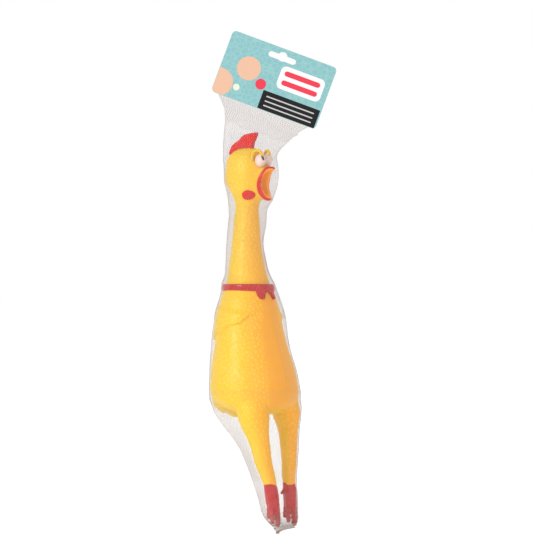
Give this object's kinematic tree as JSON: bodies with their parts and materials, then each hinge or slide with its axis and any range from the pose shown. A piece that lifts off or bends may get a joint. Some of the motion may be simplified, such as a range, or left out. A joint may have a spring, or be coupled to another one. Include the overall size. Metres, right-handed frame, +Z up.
{
  "type": "rubber chicken",
  "caption": "Hollow soft squeeze-and-shriek rubber chicken with open beak, collar and dangling legs, packed in a fine net sleeve under a folded header card with a hang slot.",
  "frame": {"origin": "centre of the header card's hang slot, midway between its two leaves", "axes": "+Z up as it hangs; the printed face of the card looks along -Y; +X is to the right of the card"},
  "size_m": [0.1331, 0.1006, 0.5166],
  "materials": {
    "yellow_vinyl": "glossy moulded vinyl with a goose-bump texture",
    "red_vinyl": "glossy painted vinyl",
    "crimson_vinyl": "glossy painted vinyl",
    "mouth_orange": "glossy painted vinyl",
    "eye_white": "painted vinyl",
    "pupil_black": "painted vinyl",
    "card_print": "coated printed card",
    "glue": "hot-melt",
    "net": "fine knitted plastic net",
    "white_plastic": "moulded",
    "reed_film": "thin springy film"
  },
  "bodies": {
    "card": {"header_card": "card_print", "glue_strips": "glue", "net_header_hem": "net"},
    "head": {"head_shell": "yellow_vinyl", "comb": "red_vinyl", "wattle_patches": "red_vinyl", "brow_ridges": "yellow_vinyl", "eyeballs": "eye_white", "pupils": "pupil_black", "beak_lips": "red_vinyl", "mouth_lining": "mouth_orange", "noise_maker_barrel": "white_plastic", "noise_maker_flange": "white_plastic", "reed_seat": "white_plastic", "reed_wedge": "white_plastic", "net_head_sleeve": "net"},
    "reed_tongue": {"reed": "reed_film"},
    "upper_neck": {"neck_upper": "yellow_vinyl", "net_neck_upper": "net"},
    "lower_neck": {"neck_lower": "yellow_vinyl", "net_neck_lower": "net"},
    "torso": {"torso_shell": "yellow_vinyl", "collar_band": "crimson_vinyl", "bow_tie": "crimson_vinyl", "wing_right": "yellow_vinyl", "wing_left": "yellow_vinyl", "tail": "yellow_vinyl", "net_body_sleeve": "net"},
    "belly": {"belly_panel": "yellow_vinyl"},
    "right_leg": {"leg_right": "yellow_vinyl", "net_leg_sleeve": "net"},
    "left_leg": {"leg_left": "yellow_vinyl"},
    "right_foot": {"foot_right": "crimson_vinyl", "net_foot_sleeve": "net", "net_end_seal": "net"},
    "left_foot": {"foot_left": "crimson_vinyl"}
  },
  "joints": [
    {"name": "card_swing", "type": "hinge", "parent": "card", "child": "head", "pos_m": [-0.01988, 0, -0.05374], "axis": [0.9379, 0, -0.3469], "range_deg": [-80, 80]},
    {"name": "reed_flutter", "type": "hinge", "parent": "head", "child": "reed_tongue", "pos_m": [-0.03643, 0.00625, -0.1284], "axis": [0.5, 0.866, 0], "range_deg": [-3, 3], "stiffness_Nm_per_rad": 0.002},
    {"name": "head_nod", "type": "hinge", "parent": "head", "child": "upper_neck", "pos_m": [-0.036, 0.006, -0.15], "axis": [0.6428, 0.766, 0], "range_deg": [-25, 25], "stiffness_Nm_per_rad": 0.6},
    {"name": "neck_sway", "type": "hinge", "parent": "upper_neck", "child": "lower_neck", "pos_m": [-0.03692, 0.00677, -0.19], "axis": [0.766, -0.6428, 0], "range_deg": [-25, 25], "stiffness_Nm_per_rad": 0.8},
    {"name": "neck_bend", "type": "hinge", "parent": "lower_neck", "child": "torso", "pos_m": [-0.03539, 0.00549, -0.231], "axis": [0.6428, 0.766, 0], "range_deg": [-20, 20], "stiffness_Nm_per_rad": 1},
    {"name": "belly_squeeze", "type": "slide", "parent": "torso", "child": "belly", "axis": [-0.766, 0.6428, 0], "range_m": [0, 0.006], "stiffness_N_per_m": 400},
    {"name": "hip_right", "type": "hinge", "parent": "torso", "child": "right_leg", "pos_m": [-0.02973, -0.0332, -0.364], "axis": [0.6428, 0.766, 0], "range_deg": [-30, 30], "stiffness_Nm_per_rad": 0.3},
    {"name": "hip_left", "type": "hinge", "parent": "torso", "child": "left_leg", "pos_m": [0.00369, 0.00663, -0.364], "axis": [0.6428, 0.766, 0], "range_deg": [-30, 30], "stiffness_Nm_per_rad": 0.3},
    {"name": "ankle_right", "type": "hinge", "parent": "right_leg", "child": "right_foot", "pos_m": [-0.01281, -0.03357, -0.437], "axis": [0.6428, 0.766, 0], "range_deg": [-20, 20], "stiffness_Nm_per_rad": 0.08},
    {"name": "ankle_left", "type": "hinge", "parent": "left_leg", "child": "left_foot", "pos_m": [0.00699, -0.00997, -0.437], "axis": [0.6428, 0.766, 0], "range_deg": [-20, 20], "stiffness_Nm_per_rad": 0.08}
  ],
  "couplings": [
    {"joint": "hip_left", "follows": "hip_right", "ratio": 1},
    {"joint": "ankle_left", "follows": "ankle_right", "ratio": 1}
  ]
}
